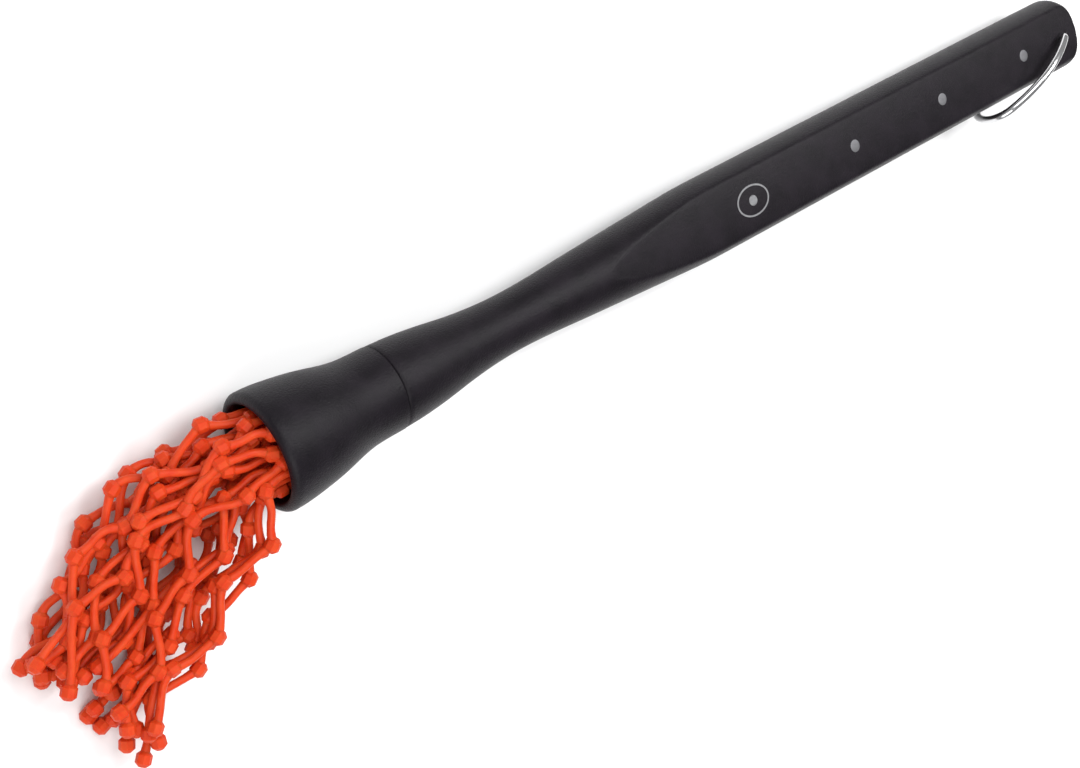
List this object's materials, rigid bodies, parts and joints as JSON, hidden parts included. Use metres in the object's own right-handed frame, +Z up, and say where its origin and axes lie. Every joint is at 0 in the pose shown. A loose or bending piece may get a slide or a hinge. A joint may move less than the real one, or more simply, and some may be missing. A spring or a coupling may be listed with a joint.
{
  "type": "basting mop",
  "caption": "Long-handled basting mop for a grill, with a round-necked grip, a flared screw collar, a head of beaded silicone strands and a wire hanging loop.",
  "frame": {"origin": "on the surface that the mop lies on, under the middle of its bounding box", "axes": "+X along the handle toward the tail, +Y toward the side away from the drooping strands, +Z up, square to the grip's printed flat within a fifth of a degree"},
  "size_m": [0.4725, 0.0869, 0.0393],
  "materials": {
    "handle_plastic": "satin black",
    "silicone": "soft matte orange-red",
    "wire_steel": "polished",
    "rivet": "satin",
    "nylon": "matte black",
    "print": "light grey print",
    "seal_rubber": "matte"
  },
  "bodies": {
    "handle": {"handle_shell_upper": "handle_plastic", "handle_shell_lower": "handle_plastic", "rivet_front": "rivet", "rivet_middle": "rivet", "rivet_rear": "rivet", "loop_bush": "nylon", "badge_print": "print", "threaded_spigot": "nylon", "seal_ring": "seal_rubber"},
    "head": {"comb_holder": "nylon", "holder_washer": "wire_steel", "holder_screw": "wire_steel", "comb_pin_left": "wire_steel", "comb_pin_right": "wire_steel", "mop_comb_1": "silicone", "mop_comb_2": "silicone", "mop_comb_3": "silicone", "mop_comb_4": "silicone", "mop_comb_5": "silicone", "mop_comb_6": "silicone"},
    "collar": {"collar": "handle_plastic"},
    "hang_loop": {"hanging_loop": "wire_steel"}
  },
  "joints": [
    {"name": "head_travel", "type": "slide", "parent": "handle", "child": "head", "axis": [-1, 0, 0.0072], "range_m": [0, 0.008]},
    {"name": "collar_turn", "type": "hinge", "parent": "head", "child": "collar", "pos_m": [-0.10272, 0.02383, 0.01934], "axis": [-1, 0, 0.0072], "range_deg": [0, 360.01]},
    {"name": "loop_swing", "type": "hinge", "parent": "handle", "child": "hang_loop", "pos_m": [0.22597, 0.02383, 0.01699], "axis": [0.0072, 0, 1], "range_deg": [-3.5, 313]}
  ],
  "couplings": [
    {"joint": "collar_turn", "follows": "head_travel", "rad_per_m": 785.4}
  ]
}
